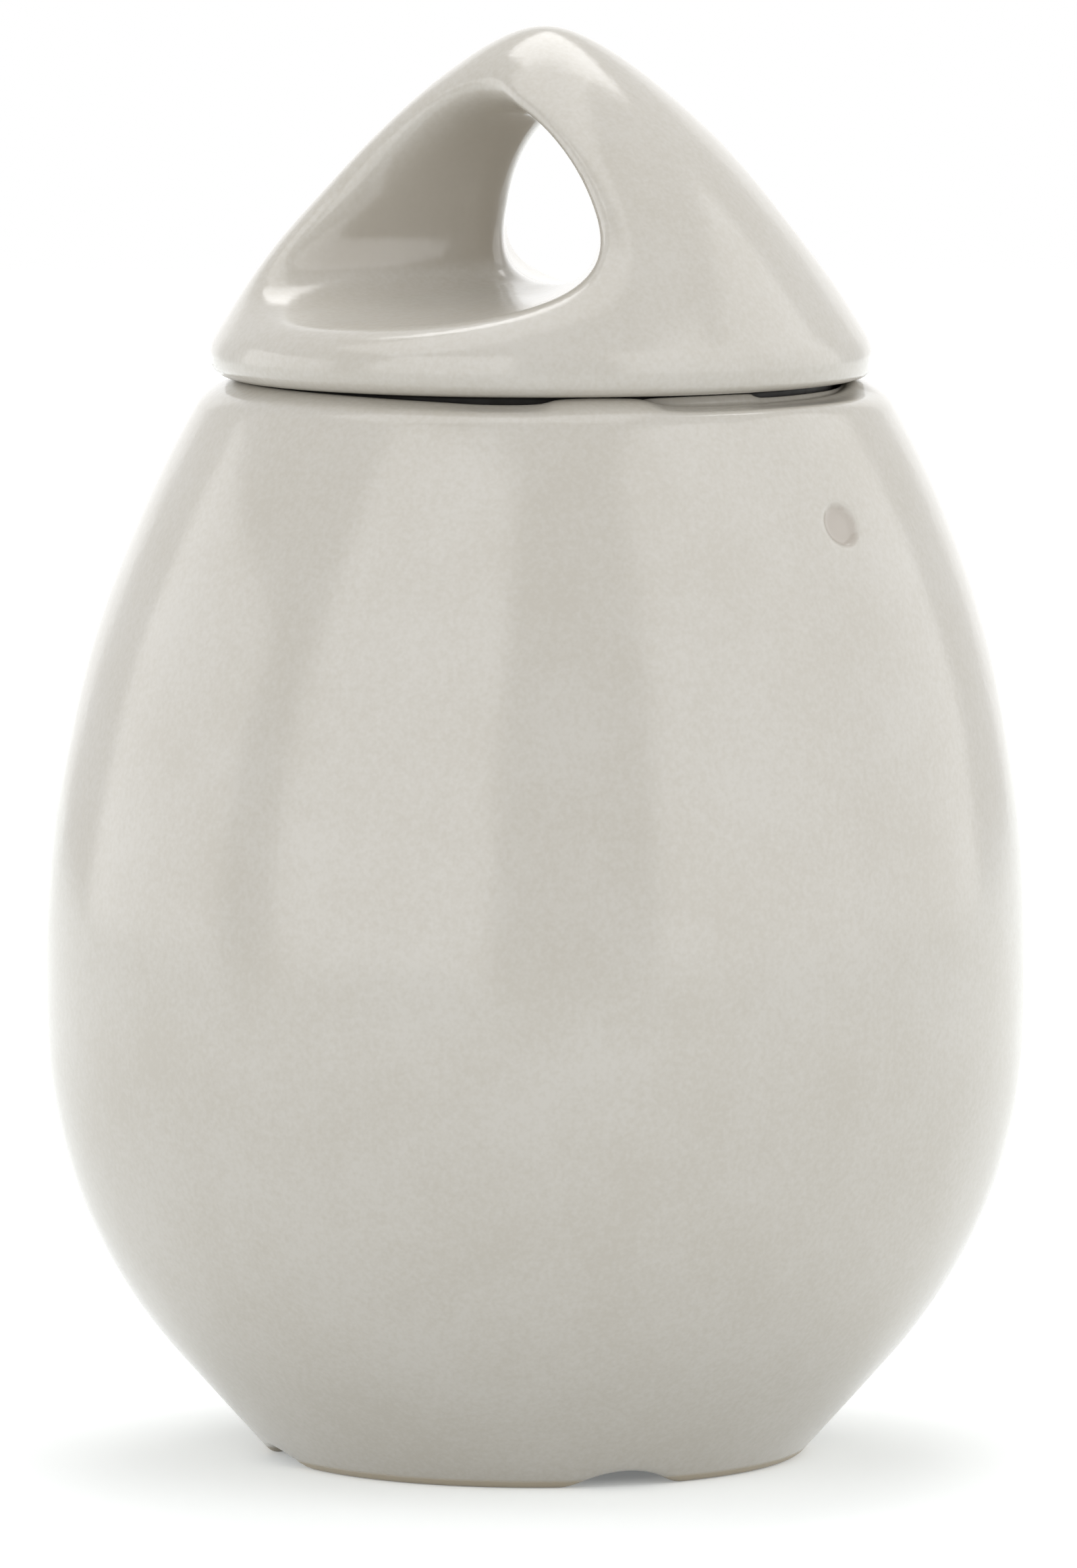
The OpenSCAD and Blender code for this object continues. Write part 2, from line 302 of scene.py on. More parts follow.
def cup_outline(cup):
    """Half section of the cup, from the underside round the outside to the inside.

    The last value of each stretch is the spacing of its points, finer where they are shaped later.
    """
    slope = cup.foot_slope
    turn_in = cos(slope)
    low_radius = (cup.belly_low * sin(slope) - (cup.belly - cup.foot) * turn_in) / (1 - turn_in)
    low = Vector((cup.belly - low_radius, cup.belly_low))
    high, high_radius, rim = upper_curve(cup)
    rim_angle = direction(high, rim)

    # Roundings under the collar, at the cavity's bottom and on the mouth's edges
    under, heel, edge = 3 * MM, 6 * MM, 0.6 * MM
    collar = cup.seat - cup.collar
    under_high = collar - under
    under_reach = high_radius - cup.wall - under
    under_centre = Vector((high.x + sqrt(under_reach**2 - (under_high - high.y) ** 2), under_high))
    heel_high = cup.floor + heel
    heel_out = cup.foot + (heel_high * sin(slope) - cup.wall - heel) / turn_in
    heel_centre = Vector((heel_out, heel_high))
    under_angle = direction(high, under_centre)
    mouth_top = Vector((cup.mouth + edge, cup.seat - edge))
    mouth_low = Vector((cup.mouth + edge, collar + edge))

    # Foot ring, the rows of points round the mark, and the crest with its slopes
    soft, deep = cup.foot_round, cup.recess_depth
    foot_edge = Vector((cup.foot - soft * (1 - sin(slope)) / turn_in, soft))
    mark_angle = asin((cup.seat - cup.mark_drop - high.y) / high_radius)
    mark_reach = 3 * MM / high_radius
    mark_low, mark_high = mark_angle - mark_reach, mark_angle + mark_reach
    quarter = pi / 2
    seat_out = Vector((cup.crest - cup.crest_slope, cup.seat))
    out_angle = quarter - cup.shoulder_slope
    out = spoke(out_angle)
    top = rim + (cup.rim_round - cup.crest_round) * out
    top += (top.x - cup.crest) / out.y * Vector((-out.y, out.x))
    in_angle = direction(top, seat_out) - acos(cup.crest_round / (seat_out - top).length)
    stretches = [
        [Vector((0, deep))],
        line((0, deep), (cup.recess - soft, deep), 1.5),
        arc((cup.recess - soft, deep - soft), soft, quarter, 0, 0.25),
        arc((cup.recess + soft, soft), soft, pi, 1.5 * pi, 0.25),
        line((cup.recess + soft, 0), (foot_edge.x, 0), 0.4),
        arc(foot_edge, soft, -quarter, -slope, 0.12),
        line(foot_edge + soft * spoke(-slope), low + low_radius * spoke(-slope), 0.35),
        arc(low, low_radius, -slope, 0, 0.8),
        arc(high, high_radius, 0, mark_low, 0.8),
        arc(high, high_radius, mark_low, mark_high, 0.22)[1:],
        arc(high, high_radius, mark_high, rim_angle, 0.4)[1:],
        arc(rim, cup.rim_round, rim_angle, out_angle, 0.16)[1:],
        line(rim + cup.rim_round * out, top + cup.crest_round * out, 0.2),
        arc(top, cup.crest_round, out_angle, in_angle, 0.14),
        line(top + cup.crest_round * spoke(in_angle), seat_out, 0.09),
        [seat_out],
        line(seat_out, (mouth_top.x, cup.seat), 0.4),
        arc(mouth_top, edge, quarter, pi, 0.15),
        line((cup.mouth, mouth_top.y), (cup.mouth, mouth_low.y), 0.5),
        arc(mouth_low, edge, pi, 1.5 * pi, 0.15),
        line((mouth_low.x, collar), (under_centre.x, collar), 0.35),
        arc(under_centre, under, quarter, under_angle, 0.6),
        arc(high, high_radius - cup.wall, under_angle, 0, 1.6)[1:],
        arc(low, low_radius - cup.wall, 0, -slope, 1.6),
        arc(heel_centre, heel, -slope, -quarter, 0.9),
        line((heel_centre.x, cup.floor), (0, cup.floor), 2),
        [Vector((0, cup.floor))],
    ]
    return [point for stretch in stretches for point in stretch]


def ring_outline(ring):
    """Closed half section of the sealing ring, with rounded edges."""
    low, high = RING_LOW.z, RING_HIGH.z
    outer, inner = RING_HIGH.x, ring.neck
    soft = 0.25 * MM
    corners = [(outer, low, -0.5), (outer, high, 0), (inner, high, 0.5), (inner, low, 1)]
    points = []
    for x, y, start in corners:
        centre = Vector((x + (soft if x == inner else -soft), y + (soft if y == low else -soft)))
        points += arc(centre, soft, start * pi, (start + 0.5) * pi, 0.06)
    return points + points[:1]


def outline_object(name, points):
    """A chain of vertices in the XZ plane, which a tree turns into a body of revolution."""
    mesh = bpy.data.meshes.new(name)
    edges = [(i, i + 1) for i in range(len(points) - 1)]
    mesh.from_pydata([(p.x, 0.0, p.y) for p in points], edges, [])
    return put(name, mesh)


def revolve_tree():
    """Turns a chain of points in the XZ plane round Z.

    The faces crowd together towards +X, where the cup has its small round mark.
    """
    tree, given, result = new_tree("Revolve outline", OUTLINE, {"Mesh": "Geometry"})
    outline, turns, crowding = (given[label] for label in OUTLINE)
    count = add(tree, "GeometryNodeAttributeDomainSize", [outline])
    columns = add(tree, "ADD", [turns, 1.0])
    grid = add(tree, "GeometryNodeMeshGrid", {"Vertices X": columns, "Vertices Y": count})
    position = add(tree, "GeometryNodeInputPosition")
    x, y, _ = add(tree, PARTS, [position]).outputs
    across = product(tree, x, tau)
    crowd = product(tree, add(tree, "SINE", [across]), crowding)
    angle = add(tree, "SUBTRACT", [across, crowd])
    rows = add(tree, "SUBTRACT", [count, 1.0])
    row = product(tree, add(tree, "ADD", [y, 0.5]), rows)
    point = add(
        tree,
        "GeometryNodeSampleIndex",
        {"Geometry": outline, "Value": position, "Index": add(tree, "ROUND", [row])},
        data_type="FLOAT_VECTOR",
        domain="POINT",
    )
    turning = {"Vector": point, "Angle": angle}
    turned = add(tree, "ShaderNodeVectorRotate", turning, rotation_type="Z_AXIS")
    placed = add(tree, "GeometryNodeSetPosition", {"Geometry": grid, "Position": turned})
    closed = add(tree, "GeometryNodeMergeByDistance", {"Geometry": placed, "Distance": CLOSE})
    tree.links.new(closed.outputs[0], result["Mesh"])
    return tree


def polar(tree):
    """Place, radius, angle, outward direction and height of a vertex, as fields."""
    position = add(tree, "GeometryNodeInputPosition")
    x, y, z = add(tree, PARTS, [position]).outputs
    flat = add(tree, "ShaderNodeCombineXYZ", [x, y])
    return SimpleNamespace(
        position=position,
        radius=add(tree, VECTOR, [flat], operation="LENGTH"),
        angle=add(tree, "ARCTAN2", [y, x]),
        outward=add(tree, VECTOR, [flat], operation="NORMALIZE"),
        z=z,
    )


def fade(tree, value, near, far, smooth="SMOOTHSTEP"):
    """1 where value is below near and 0 above far, or the other way round where near is larger."""
    low, high = min(near, far), max(near, far)
    ends = [low, high, 1.0, 0.0] if near < far else [low, high, 0.0, 1.0]
    return add(tree, RANGE, [value, *ends], interpolation_type=smooth)


def product(tree, *factors):
    """Multiplies fields."""
    whole = factors[0]
    for factor in factors[1:]:
        whole = add(tree, "MULTIPLY", [whole, factor])
    return whole


def length(tree, *parts):
    """Length of the vector that has these parts."""
    whole = add(tree, "ShaderNodeCombineXYZ", parts)
    return add(tree, VECTOR, [whole], operation="LENGTH")


def slab(tree, value, middle, half):
    """How far a value lies outside a band that reaches half to each side of the middle."""
    away = add(tree, "ABSOLUTE", [add(tree, "SUBTRACT", [value, middle])])
    return add(tree, "SUBTRACT", [away, half])


def window(tree, angle, centre, width, soft):
    """1 within width round the angle centre, 0 outside."""
    away = add(tree, "ABSOLUTE", [add(tree, "SUBTRACT", [angle, centre])])
    return fade(tree, away, width / 2 - soft, width / 2 + soft)


def move(tree, geometry, field, along):
    """Moves vertices by a field of lengths along a direction."""
    offset = add(tree, VECTOR, {0: along, "Scale": field}, operation="SCALE")
    return add(tree, "GeometryNodeSetPosition", {"Geometry": geometry, "Offset": offset})


def cut_slots(tree, geometry, at, cup):
    """Two slots in the mouth, on X, that let the lid's lugs through and leave a land outside."""
    soft, edge, land = radians(0.8), 0.6 * MM, 0.2 * MM
    side = add(tree, "WRAP", [at.angle, pi / 2, -pi / 2])
    span = window(tree, side, 0.0, cup.slot_angle, soft)
    land_edge = cup.crest - cup.crest_slope - land
    near_mouth = fade(tree, at.radius, cup.mouth + edge, land_edge, "LINEAR")
    above = add(tree, "GREATER_THAN", [at.z, cup.seat - cup.collar - HAIR])
    return move(tree, geometry, product(tree, span, near_mouth, above, cup.slot_depth), at.outward)


def hang_stops(tree, geometry, at, cup, lid):
    """Blocks under the collar that end the lid's turn and bar the wrong way round."""
    stop, play, lock, soft = (radians(degrees) for degrees in (5, 1, 60, 0.6))
    start, full, edge, spare = 0.7 * MM, 1.1 * MM, 0.4 * MM, 0.1 * MM
    side = add(tree, "WRAP", [at.angle, pi / 2, -pi / 2])
    locked = window(tree, side, -lock - lid.lug_angle / 2 - play - stop / 2, stop, soft)
    wrong = window(tree, side, cup.slot_angle / 2 + play + stop / 2, stop, soft)
    span = add(tree, "MAXIMUM", [locked, wrong])
    below = add(tree, "COMPARE", [at.z, cup.seat - cup.collar, HAIR])
    inner = fade(tree, at.radius, cup.mouth + full, cup.mouth + start)
    outer = fade(tree, at.radius, lid.lug, lid.lug + edge)
    drop = lid.lug_height - spare
    return move(tree, geometry, product(tree, span, below, inner, outer, drop), (0, 0, -1))


def arch_notches(tree, geometry, at, cup):
    """Four flat arches across the foot ring, which drain the recess."""
    soft = 0.8 * MM
    turned = add(tree, "SUBTRACT", [at.angle, cup.notch_turn])
    quarter = add(tree, "WRAP", [turned, pi / 4, -pi / 4])
    off = product(tree, add(tree, "SINE", [quarter]), at.radius)
    radius = (cup.notch_width**2 / 4 + cup.notch_height**2) / (2 * cup.notch_height)
    below = add(tree, "SUBTRACT", [radius**2, add(tree, "POWER", [off, 2.0])])
    arch = add(tree, "ADD", [add(tree, "SQRT", [below]), cup.notch_height - radius])
    raised = add(tree, "SMOOTH_MAX", [at.z, arch, soft])
    lift = add(tree, "SUBTRACT", [raised, at.z])
    return move(tree, geometry, lift, (0, 0, 1))


def mark_place(cup):
    """Middle of the round mark and the wall's outward direction there."""
    centre, radius, _ = upper_curve(cup)
    slope = asin((cup.seat - cup.mark_drop - centre.y) / radius)
    outward = Vector((cos(slope), 0, sin(slope)))
    return Vector((centre.x, 0, centre.y)) + radius * outward, outward


def press_mark(tree, geometry, at, cup):
    """The round mark: a shallow pit with a soft edge, at +X under the handle."""
    bottom, edge = 0.32, 0.54
    middle, outward = mark_place(cup)
    away = add(tree, VECTOR, [at.position, middle], operation="DISTANCE")
    pit = fade(tree, away, bottom * cup.mark_width, edge * cup.mark_width)
    return move(tree, geometry, product(tree, pit, cup.mark_depth), -outward)


def around(tree, at, heights):
    """A height that changes round the cup: shares of a turn from -X through -Y, and millimetres."""
    most = 2  # millimetres
    turned = add(tree, RANGE, [at.angle, -pi, pi])
    curve = add(tree, "ShaderNodeFloatCurve", {"Value": turned})
    points = curve.mapping.curves[0].points
    while len(points) < len(heights):
        points.new(0.5, 0.5)
    for point, (place, height) in zip(points, heights):
        point.location = (place, 0.5 + height / (2 * most))
    curve.mapping.update()
    return add(tree, RANGE, [curve, 0.0, 1.0, -most * MM, most * MM])


def wave_rim(tree, geometry, at, cup):
    """The hand-made rim touches the lid in places and dips a few tenths of a millimetre between.

    The crest and the land inside it dip at different places, and the shoulder follows a little.
    """
    start = [(0.0, 0.3), (0.2, 0.29), (0.26, 0.17), (0.31, -0.03), (0.35, -0.2), (0.365, -0.14)]
    end = [(0.615, 0.29), (1.0, 0.3)]
    crest = [(0.379, 0.25), (0.395, 0.3), (0.413, 0.25), (0.43, -0.25), (0.45, -0.5), (0.5, -0.5)]
    crest = [*start, *crest, (0.55, -0.42), (0.59, -0.1), *end]
    land = [(0.379, 0.25), (0.413, 0.3), (0.43, 0.56), (0.489, 0.58), (0.494, 0.24), (0.55, 0.2)]
    land = [*start, *land, (0.59, 0.2), *end]
    near_top = fade(tree, at.z, cup.seat + 0.2 * MM, cup.seat - 5 * MM)
    near_crest = fade(tree, at.radius, cup.crest + 0.4 * MM, cup.crest + 3 * MM)
    land_edge = cup.crest - 0.8 * MM
    off_seat = fade(tree, at.radius, land_edge, cup.crest - cup.crest_slope)
    outside = fade(tree, at.radius, cup.crest - 0.45 * MM, land_edge)
    inside = add(tree, "SUBTRACT", [1.0, outside])
    outer = product(tree, around(tree, at, crest), outside)
    inner = product(tree, around(tree, at, land), inside)
    both = add(tree, "ADD", [outer, inner])
    return move(tree, geometry, product(tree, both, near_top, near_crest, off_seat), (0, 0, 1))


def hand_wave(tree, geometry, at, low, high, amount):
    """Slow unevenness of a hand-finished casting, which fades out towards two heights."""
    wave, fade_low, fade_high = 17 * MM, 6 * MM, 5 * MM
    noise = {"Vector": at.position, "Scale": 1 / wave, "Detail": 1.0}
    swing = add(tree, "SUBTRACT", [add(tree, "ShaderNodeTexNoise", noise), 0.5])
    above = fade(tree, at.z, low + fade_low, low)
    below = fade(tree, at.z, high - fade_high, high)
    height = product(tree, swing, above, below, 2 * amount)
    return move(tree, geometry, height, add(tree, "GeometryNodeInputNormal"))


def lean(tree, geometry, part, amount, stage):
    """A hand-made casting leans a little off its axis, to the left of the photographed view."""
    left = -spoke(stage.azimuth).to_3d()
    return move(tree, geometry, product(tree, part, amount), left)


def close_tree(tree, geometry, result, material):
    """Ends a tree with smooth shading, real geometry and its material."""
    smooth = add(tree, "GeometryNodeSetShadeSmooth", [geometry])
    real = add(tree, "GeometryNodeRealizeInstances", [smooth])
    done = add(tree, "GeometryNodeSetMaterial", {"Geometry": real, "Material": material})
    tree.links.new(done.outputs[0], result[0])
    return tree


def turned_tree(name, inputs):
    """A tree that starts by turning its outline, and the group node that does it."""
    tree, given, result = new_tree(name, inputs, {"Piece": "Geometry"})
    turned = add(tree, "GeometryNodeGroup", node_tree=revolve_tree())
    for label in inputs:
        tree.links.new(given[label], turned.inputs[label])
    return tree, turned, result


def cup_tree(cup, lid, stage, material):
    """The cup: its half section turned round Z, then shaped."""
    tree, turned, result = turned_tree("Cup", OUTLINE)
    at = polar(tree)
    shape = cut_slots(tree, turned, at, cup)
    shape = hang_stops(tree, shape, at, cup, lid)
    for carve in (arch_notches, press_mark, wave_rim):
        shape = carve(tree, shape, at, cup)
    calm_foot, calm_rim, wave, lean_from = 2 * MM, 5 * MM, 0.1 * MM, 38 * MM
    shape = hand_wave(tree, shape, at, calm_foot, cup.seat - calm_rim, wave)
    shape = lean(tree, shape, fade(tree, at.z, lean_from, cup.seat), cup.lean, stage)
    return close_tree(tree, shape, result, material)


def ring_tree(material):
    """The sealing ring: its half section turned round Z."""
    tree, turned, result = turned_tree("Sealing ring", {"Outline": "Geometry", "Turns": "Int"})
    return close_tree(tree, turned, result, material)


def dome_centre(lid):
    """Centre of the flank's arc in the half section of the softened radius.

    The arc passes through the tip and just outside the widest line above the lid's underside.
    """
    tip = Vector((lid.tip_soft, LID_HIGH.z))
    edge = Vector((hypot(LID_HIGH.x + lid.edge_spare, lid.tip_soft), RING_HIGH.z + lid.edge_height))
    half = (edge - tip) / 2
    reach = sqrt(lid.flank**2 - half.length_squared)
    across = Vector((half.y, -half.x)).normalized()
    if across.x > 0:
        across = -across
    return tip + half + across * reach


def dome_distance(tree, x, y, z, lid):
    """Distance from the centre of the flank's arc, which equals the flank's radius on the dome."""
    centre = dome_centre(lid)
    out = add(tree, "SUBTRACT", [length(tree, x, y, lid.tip_soft), centre.x])
    return length(tree, out, add(tree, "SUBTRACT", [z, centre.y]))


def lid_field(lid):
    """How far a point lies outside the lid, negative inside.

    The dome, its spigot and lugs are joined, and the hollow and the two scoops are taken away,
    each with a soft blend, which gives the rounded lips that a glaze leaves.
    """
    tree, given, result = new_tree("Lid distance", {"Position": "Vector"}, {"Distance": "Float"})
    node = partial(add, tree)
    x, y, z = node(PARTS, [given["Position"]]).outputs
    radius = length(tree, x, y)

    # Dome, cut flat underneath
    dome = node("SUBTRACT", [dome_distance(tree, x, y, z, lid), lid.flank])
    brow = node("SUBTRACT", [radius, LID_HIGH.x])
    dome = node("SMOOTH_MAX", [dome, brow, lid.brow_blend])
    under = node("SUBTRACT", [RING_HIGH.z, z])
    dome = node("SMOOTH_MAX", [dome, under, lid.edge_blend])

    # Spigot: a tube that reaches down into the mouth and a little up into the dome
    tube_blend, overlap = 1.6 * MM, 2 * MM
    tube = slab(tree, radius, lid.spigot - lid.spigot_wall / 2, lid.spigot_wall / 2)
    bottom = node("SUBTRACT", [LID_LOW.z, z])
    tube = node("SMOOTH_MAX", [tube, bottom, tube_blend])
    tube = node("MAXIMUM", [tube, node("SUBTRACT", [z, RING_HIGH.z + overlap])])

    # Lugs: two blocks on X at the spigot's foot, set a little into its wall
    soft, lug_blend, neck_blend, bite = 1.2 * MM, 0.8 * MM, 1 * MM, 0.5 * MM
    middle = (lid.lug + lid.spigot) / 2 - bite
    lug = slab(tree, radius, middle, lid.lug - middle)
    height = slab(tree, z, LID_LOW.z + lid.lug_height / 2, lid.lug_height / 2)
    angle = node("ARCTAN2", [y, node("ABSOLUTE", [x])])
    side = node("MULTIPLY", [slab(tree, angle, 0.0, lid.lug_angle / 2), lid.lug])
    for face in (height, side):
        lug = node("SMOOTH_MAX", [lug, face, soft])
    tube = node("SMOOTH_MIN", [tube, lug, lug_blend])
    solid = node("SMOOTH_MIN", [dome, tube, neck_blend])

    # Hollow: a shallow vault inside the spigot
    vault_blend = 2 * MM
    rise = node("SUBTRACT", [z, RING_HIGH.z + lid.hollow - lid.hollow_round])
    vault = node("SUBTRACT", [length(tree, x, y, rise), lid.hollow_round])
    bore = node("SUBTRACT", [radius, lid.spigot - lid.spigot_wall])
    hollow = node("SMOOTH_MAX", [vault, bore, vault_blend])
    solid = node("SMOOTH_MAX", [solid, node("MULTIPLY", [hollow, -1.0]), soft])

    # Scoops: an egg-shaped hole through Y that flares to both sides
    away = node("SUBTRACT", [length(tree, y, lid.waist), lid.waist])
    slowed = node("MULTIPLY_ADD", [away, 1 / lid.flare_reach, 1.0])
    slowed = node("DIVIDE", [away, slowed])
    across = node("SUBTRACT", [x, lid.hole_off])
    right = node("GREATER_THAN", [across, 0.0])
    lesser = node("GREATER_THAN", [node("MULTIPLY", [across, y]), 0.0])
    flare = node(RANGE, [lesser, 0.0, 1.0, lid.flare, lid.flare_less])
    half = node("MULTIPLY_ADD", [slowed, flare, lid.hole_half])
    low = node("MULTIPLY_ADD", [slowed, -lid.sink, lid.hole_low])
    high = node("MULTIPLY_ADD", [away, lid.climb, lid.hole_high])
    centre_z = node("MULTIPLY", [node("ADD", [low, high]), 0.5])
    tall = node("SUBTRACT", [high, centre_z])
    above = node("DIVIDE", [node("SUBTRACT", [z, centre_z]), tall])

    # The hole narrows towards its top, and its lower left corner is fuller than the others
    most_narrow = 1.2
    held = node("ShaderNodeClamp", [above, -most_narrow, most_narrow])
    taper = node(RANGE, [right, 0.0, 1.0, -lid.hole_taper_left, -lid.hole_taper])
    wide = node("MULTIPLY", [half, node("MULTIPLY_ADD", [held, taper, 1.0])])
    plain = node("MAXIMUM", [right, node("GREATER_THAN", [above, 0.0])])
    full = node(RANGE, [plain, 0.0, 1.0, lid.hole_full_low, lid.hole_full])
    aside = node("DIVIDE", [across, wide])
    powers = [node("POWER", [node("ABSOLUTE", [part]), full]) for part in (aside, above)]
    ratio = node("POWER", [node("ADD", powers), node("DIVIDE", [1.0, full])])
    share_to_length = 0.8
    narrowest = node("MINIMUM", [half, tall])
    inside = product(tree, node("SUBTRACT", [1.0, ratio]), narrowest, share_to_length)

    # The rolled lip is softest high on the front scoop's left, and further right under the roof
    high_up = fade(tree, z, lid.hole_low + 8 * MM, lid.hole_low + 1 * MM)
    roof_start, roof_end, shift = lid.hole_high - 7 * MM, lid.hole_high - 1 * MM, 4 * MM
    reach = node(RANGE, [z, roof_start, roof_end, 0.0, shift])
    left = node("MINIMUM", [node("SUBTRACT", [across, reach]), 0.0])
    front = node("MINIMUM", [y, 0.0])
    beside = fade(tree, product(tree, left, front), (6 * MM) ** 2, (1 * MM) ** 2)
    soft_part = product(tree, high_up, beside)
    lip = node(RANGE, [soft_part, 0.0, 1.0, lid.lip, lid.lip_high])
    solid = node("SMOOTH_MAX", [solid, inside, lip])
    tree.links.new(solid.outputs[0], result["Distance"])
    return tree


def lid_tree(field, lid, stage, material):
    """The lid: its distance field sampled in a block of cells, then pulled onto the shape."""
    inputs = {"Low corner": "Vector", "High corner": "Vector", "Grain": "Float"}
    tree, given, result = new_tree("Lid", inputs, {"Lid": "Geometry"})
    low, high, grain = (given[label] for label in inputs)
    node = partial(add, tree)
    place = node("GeometryNodeInputPosition")
    outside = node("GeometryNodeGroup", [place], node_tree=field)
    span = node(VECTOR, [high, low], operation="SUBTRACT")
    cells = node(VECTOR, [span, grain], operation="DIVIDE")
    cells = node(PARTS, [cells]).outputs
    density = node("MULTIPLY", [outside, -1.0])
    block = {"Density": density, "Background": -1.0, "Min": low, "Max": high}
    for axis in "XYZ":
        block[f"Resolution {axis}"] = cells[axis]
    surface = {"Volume": node("GeometryNodeVolumeCube", block), "Threshold": 0.0}
    shape = node("GeometryNodeVolumeToMesh", surface, resolution_mode="GRID")

    # Each round moves the vertices along their normals by the distance over the field's slope there
    rounds, step, least_slope, most = 3, 0.1 * MM, 0.4, 0.15 * MM
    normal = node("GeometryNodeInputNormal")
    for _ in range(rounds):
        samples = []
        for ahead in (0.0, step, -step):
            spot = node(VECTOR, [normal, (ahead,) * 3, place], operation="MULTIPLY_ADD")
            samples.append(node("GeometryNodeGroup", [spot], node_tree=field))
        here, front, back = samples
        slope = node("MULTIPLY", [node("SUBTRACT", [front, back]), 1 / (2 * step)])
        slope = node("MAXIMUM", [slope, least_slope])
        gap = node("MULTIPLY", [node("DIVIDE", [here, slope]), -1.0])
        gap = node("ShaderNodeClamp", [gap, -most, most])
        shape = move(tree, shape, gap, normal)
    at = polar(tree)
    underside, past_tip, wave = RING_HIGH.z, 6 * MM, 0.08 * MM
    shape = hand_wave(tree, shape, at, underside + 1 * MM, LID_HIGH.z + past_tip, wave)
    above = fade(tree, at.z, underside + 1.2 * MM, underside + 0.1 * MM)
    base = product(tree, fade(tree, at.z, lid.hole_low, lid.hole_high), above)
    shape = lean(tree, shape, base, lid.lean, stage)
    return close_tree(tree, shape, result, material)


def bake(shape, tree, values, name, body, node):
    """Runs a tree on an object, keeps the result as a plain mesh and ties it to its CAD body."""
    modifier = shape.modifiers.new(name, "NODES")
    modifier.node_group = tree
    sockets = {s.name: s.identifier for s in tree.interface.items_tree if s.in_out == "INPUT"}
    for label, value in values.items():
        modifier[sockets[label]] = value
    bpy.context.view_layer.update()
    graph = bpy.context.evaluated_depsgraph_get()
    mesh = bpy.data.meshes.new_from_object(shape.evaluated_get(graph), depsgraph=graph)
    shape.modifiers.clear()
    shape.data = mesh
    shape.name = mesh.name = name
    if not mesh.polygons:
        raise RuntimeError(f"{name} came out empty")
    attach(shape, body)
    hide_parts(node)


def shaded_scoop_walls(tree, place, lid):
    """Painted shade mask: 1 on the walls deep in the lid's scoops, 0 on the dome, the scoops'
    floors and the cup.
    """
    x, y, z = add(tree, PARTS, [place]).outputs
    deep, shallow = lid.flank - 4.5 * MM, lid.flank - 0.8 * MM
    steep, flat = 0.3, 0.75
    inside = fade(tree, dome_distance(tree, x, y, z, lid), deep, shallow)
    normal = add(tree, "ShaderNodeNewGeometry").outputs["Normal"]
    upward = add(tree, PARTS, [normal]).outputs["Z"]
    on_lid = fade(tree, z, lid.hole_low - 2 * MM, lid.hole_low - 4 * MM)
    return product(tree, inside, fade(tree, upward, steep, flat), on_lid)


def glaze_material(scene):
    """Glazed porcelain, slip cast and fired: a warm grey body under a satin glaze.

    The glaze gives a soft sheen with blurred edges, the orange peel breaks the sheen up, a fine
    speckle and slow clouds keep the grey alive, painted shade makes the scoops' walls warmer and
    darker, the glaze runs thin in the round mark, and the wiped foot shows a thin line of bare
    clay.
    """
    finish, cup, lid = scene.coddler_finish, scene.coddler_cup, scene.coddler_lid
    material, tree = new_material("Glazed porcelain")
    place = add(tree, "ShaderNodeTexCoord").outputs["Object"]

    # Clouds 9 mm wide, speckles of 0.45 mm and the orange peel, each with its detail and roughness
    patterns = []
    grains = (9 * MM, 3.0, 0.6), (0.45 * MM, 1.0, 0.7), (finish.dimple, 2.0, 0.45)
    for width, detail, rough in grains:
        noise = {"Vector": place, "Scale": 1 / width, "Detail": detail, "Roughness": rough}
        patterns.append(add(tree, "ShaderNodeTexNoise", noise))
    clouds, speckle, peel = patterns
    mottle = add(tree, RANGE, [add(tree, "ADD", [clouds, speckle]), 0.75, 1.25])
    # Painted shade: darkens and warms the walls deep in the scoops, where shade falls
    scoop_shade_share = 0.8
    pool = product(tree, shaded_scoop_walls(tree, place, lid), scoop_shade_share)

    # The round mark's ragged disc is a shade darker and browner
    ragged = add(tree, "MULTIPLY_ADD", [speckle, 0.5 * MM, -0.25 * MM])
    away = add(tree, VECTOR, [place, mark_place(cup)[0]], operation="DISTANCE")
    away = add(tree, "ADD", [away, ragged])
    disc = fade(tree, away, 0.4 * cup.mark_width, 0.5 * cup.mark_width, "LINEAR")

    # The glaze is wiped off the lowest 0.5 to 0.7 mm, so that the foot doesn't stick in the kiln
    height = add(tree, PARTS, [place]).outputs["Z"]
    ragged = add(tree, "MULTIPLY_ADD", [speckle, 0.2 * MM, height])
    bare = fade(tree, ragged, 0.6 * MM, 0.85 * MM, "LINEAR")

    # Layers over the body colour: the mottle, the painted scoop shade, the mark and the bare foot
    colour = (*finish.glaze, 1)
    covers = mottle, pool, disc, bare
    shades = finish.glaze_shade, finish.pool, finish.mark, finish.clay
    for cover, shade in zip(covers, shades):
        layer = {"Factor": cover, 6: colour, 7: (*shade, 1)}
        colour = add(tree, "ShaderNodeMix", layer, data_type="RGBA").outputs[2]
    swing, chalky = 0.02, 0.3
    rough = [clouds, 0.3, 0.7, finish.satin - swing, finish.satin + swing]
    rough = add(tree, "MULTIPLY_ADD", [bare, chalky, add(tree, RANGE, rough)])
    relief = {"Height": peel, "Distance": finish.dimple_depth, "Strength": 1.0}
    bump = add(tree, "ShaderNodeBump", relief)
    look = {"Base Color": colour, "Roughness": rough, "IOR": 1.55, "Normal": bump}
    shader = add(tree, "ShaderNodeBsdfPrincipled", look)
    add(tree, "ShaderNodeOutputMaterial", [shader])
    return material


